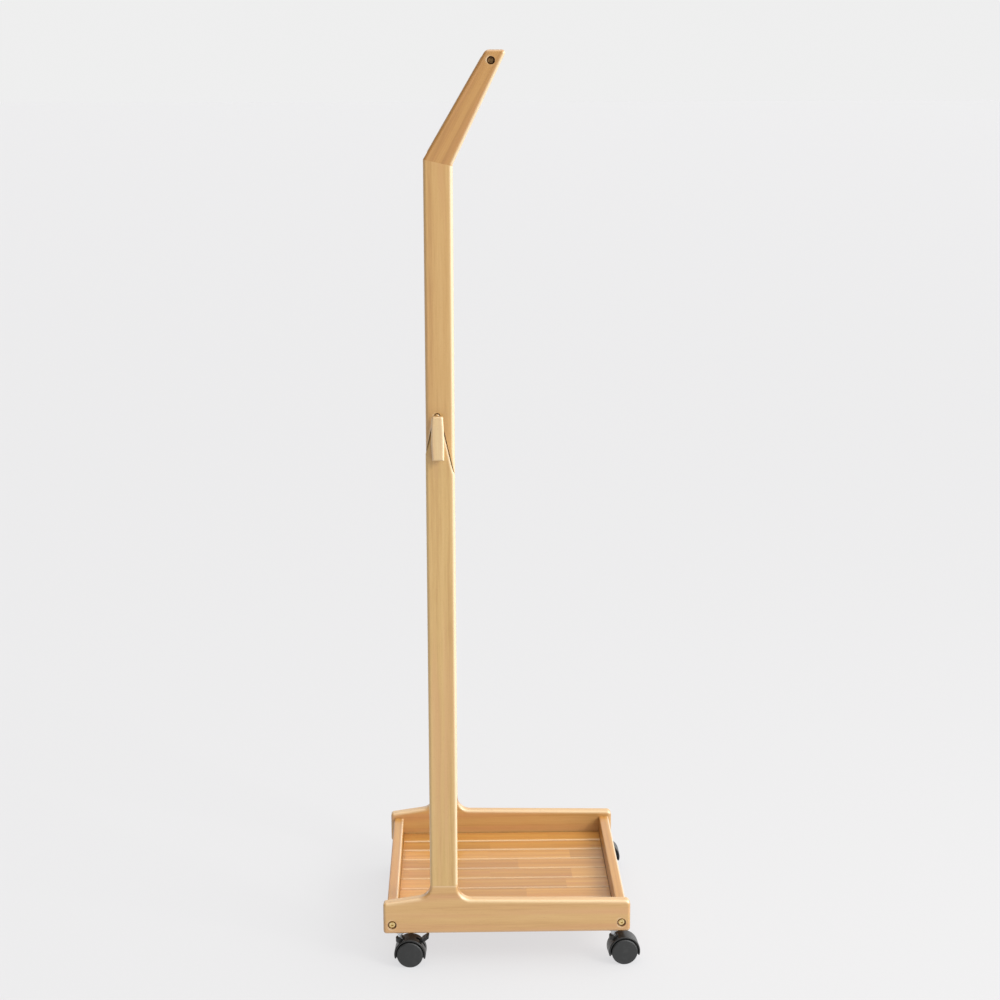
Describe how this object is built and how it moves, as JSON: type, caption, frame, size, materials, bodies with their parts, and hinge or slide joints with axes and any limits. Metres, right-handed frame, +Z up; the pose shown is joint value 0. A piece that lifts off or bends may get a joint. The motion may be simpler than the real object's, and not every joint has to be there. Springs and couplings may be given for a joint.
{
  "type": "rolling clothes rack",
  "caption": "Wooden rolling clothes rack: slim posts with forward-leaning arms carry a hanging bar over a slatted tray on twin-wheel casters.",
  "frame": {"origin": "on the floor, under the middle of the rack's bounding box", "axes": "+X to the front, the side the arms lean to; +Y along the hanging bar to the rack's left side; +Z up"},
  "size_m": [0.431, 0.472, 1.5],
  "materials": {
    "lacquered_wood": "clear satin lacquer over finger-jointed hardwood",
    "hook_wood": "clear satin lacquer over pale hardwood",
    "dowel_wood": "plain turned dowel",
    "black_hood_plastic": "moulded, fine satin",
    "black_wheel_plastic": "moulded, satin",
    "brass_plated_bolt": "yellow plated",
    "bronzed_bolt": "bronze plated",
    "plated_steel": "bright zinc plated"
  },
  "bodies": {
    "root": {"right_base_rail": "lacquered_wood", "left_base_rail": "lacquered_wood", "right_lower_post": "lacquered_wood", "left_lower_post": "lacquered_wood", "right_upper_post": "lacquered_wood", "left_upper_post": "lacquered_wood", "right_top_arm": "lacquered_wood", "left_top_arm": "lacquered_wood", "right_bag_hook": "hook_wood", "left_bag_hook": "hook_wood", "frame_bolts": "brass_plated_bolt", "bar_bolts": "bronzed_bolt", "barrel_nuts": "plated_steel", "bar_inserts": "plated_steel", "caster_sockets": "plated_steel", "post_dowels": "dowel_wood", "arm_dowels": "dowel_wood", "tray_dowels": "dowel_wood", "hook_screws": "plated_steel", "hanging_bar": "lacquered_wood", "slat_screws": "plated_steel", "rear_cleat": "lacquered_wood", "middle_batten": "lacquered_wood", "front_cleat": "lacquered_wood", "tray_slat_1": "lacquered_wood", "tray_slat_2": "lacquered_wood", "tray_slat_3": "lacquered_wood", "tray_slat_4": "lacquered_wood", "tray_slat_5": "lacquered_wood", "tray_slat_6": "lacquered_wood", "tray_slat_7": "lacquered_wood", "tray_slat_8": "lacquered_wood", "tray_slat_9": "lacquered_wood", "rear_end_board": "lacquered_wood", "front_end_board": "lacquered_wood", "rear_right_caster_stem": "plated_steel", "front_right_caster_stem": "plated_steel", "rear_left_caster_stem": "plated_steel", "front_left_caster_stem": "plated_steel"},
    "rear_right_caster": {"rear_right_caster_hood": "black_hood_plastic", "rear_right_caster_axle": "plated_steel"},
    "rear_right_wheel_a": {"rear_right_wheel_a": "black_wheel_plastic"},
    "rear_right_wheel_b": {"rear_right_wheel_b": "black_wheel_plastic"},
    "rear_right_brake_lever": {"rear_right_brake_lever": "black_hood_plastic"},
    "front_right_caster": {"front_right_caster_hood": "black_hood_plastic", "front_right_caster_axle": "plated_steel"},
    "front_right_wheel_a": {"front_right_wheel_a": "black_wheel_plastic"},
    "front_right_wheel_b": {"front_right_wheel_b": "black_wheel_plastic"},
    "rear_left_caster": {"rear_left_caster_hood": "black_hood_plastic", "rear_left_caster_axle": "plated_steel"},
    "rear_left_wheel_a": {"rear_left_wheel_a": "black_wheel_plastic"},
    "rear_left_wheel_b": {"rear_left_wheel_b": "black_wheel_plastic"},
    "rear_left_brake_lever": {"rear_left_brake_lever": "black_hood_plastic"},
    "front_left_caster": {"front_left_caster_hood": "black_hood_plastic", "front_left_caster_axle": "plated_steel"},
    "front_left_wheel_a": {"front_left_wheel_a": "black_wheel_plastic"},
    "front_left_wheel_b": {"front_left_wheel_b": "black_wheel_plastic"}
  },
  "joints": [
    {"name": "rear_right_swivel", "type": "hinge", "parent": "root", "child": "rear_right_caster", "pos_m": [-0.18803, -0.206, 0.048], "axis": [0, 0, 1], "continuous": true},
    {"name": "rear_right_wheel_a_spin", "type": "hinge", "parent": "rear_right_caster", "child": "rear_right_wheel_a", "pos_m": [-0.17085, -0.2069, 0.022], "axis": [0.0523, 0.9986, 0], "continuous": true},
    {"name": "rear_right_wheel_b_spin", "type": "hinge", "parent": "rear_right_caster", "child": "rear_right_wheel_b", "pos_m": [-0.17085, -0.2069, 0.022], "axis": [0.0523, 0.9986, 0], "continuous": true},
    {"name": "rear_right_brake", "type": "hinge", "parent": "rear_right_caster", "child": "rear_right_brake_lever", "pos_m": [-0.15687, -0.20763, 0.0365], "axis": [0.0523, 0.9986, 0], "range_deg": [0, 18]},
    {"name": "front_right_swivel", "type": "hinge", "parent": "root", "child": "front_right_caster", "pos_m": [0.17097, -0.206, 0.048], "axis": [0, 0, 1], "continuous": true},
    {"name": "front_right_wheel_a_spin", "type": "hinge", "parent": "front_right_caster", "child": "front_right_wheel_a", "pos_m": [0.18813, -0.2048, 0.022], "axis": [-0.0698, 0.9976, 0], "continuous": true},
    {"name": "front_right_wheel_b_spin", "type": "hinge", "parent": "front_right_caster", "child": "front_right_wheel_b", "pos_m": [0.18813, -0.2048, 0.022], "axis": [-0.0698, 0.9976, 0], "continuous": true},
    {"name": "rear_left_swivel", "type": "hinge", "parent": "root", "child": "rear_left_caster", "pos_m": [-0.18803, 0.206, 0.048], "axis": [0, 0, 1], "continuous": true},
    {"name": "rear_left_wheel_a_spin", "type": "hinge", "parent": "rear_left_caster", "child": "rear_left_wheel_a", "pos_m": [-0.1712, 0.20242, 0.022], "axis": [0.2079, 0.9781, 0], "continuous": true},
    {"name": "rear_left_wheel_b_spin", "type": "hinge", "parent": "rear_left_caster", "child": "rear_left_wheel_b", "pos_m": [-0.1712, 0.20242, 0.022], "axis": [0.2079, 0.9781, 0], "continuous": true},
    {"name": "rear_left_brake", "type": "hinge", "parent": "rear_left_caster", "child": "rear_left_brake_lever", "pos_m": [-0.15751, 0.19951, 0.0365], "axis": [0.2079, 0.9781, 0], "range_deg": [0, 18]},
    {"name": "front_left_swivel", "type": "hinge", "parent": "root", "child": "front_left_caster", "pos_m": [0.17097, 0.206, 0.048], "axis": [0, 0, 1], "continuous": true},
    {"name": "front_left_wheel_a_spin", "type": "hinge", "parent": "front_left_caster", "child": "front_left_wheel_a", "pos_m": [0.18817, 0.206, 0.022], "axis": [0, 1, 0], "continuous": true},
    {"name": "front_left_wheel_b_spin", "type": "hinge", "parent": "front_left_caster", "child": "front_left_wheel_b", "pos_m": [0.18817, 0.206, 0.022], "axis": [0, 1, 0], "continuous": true}
  ]
}
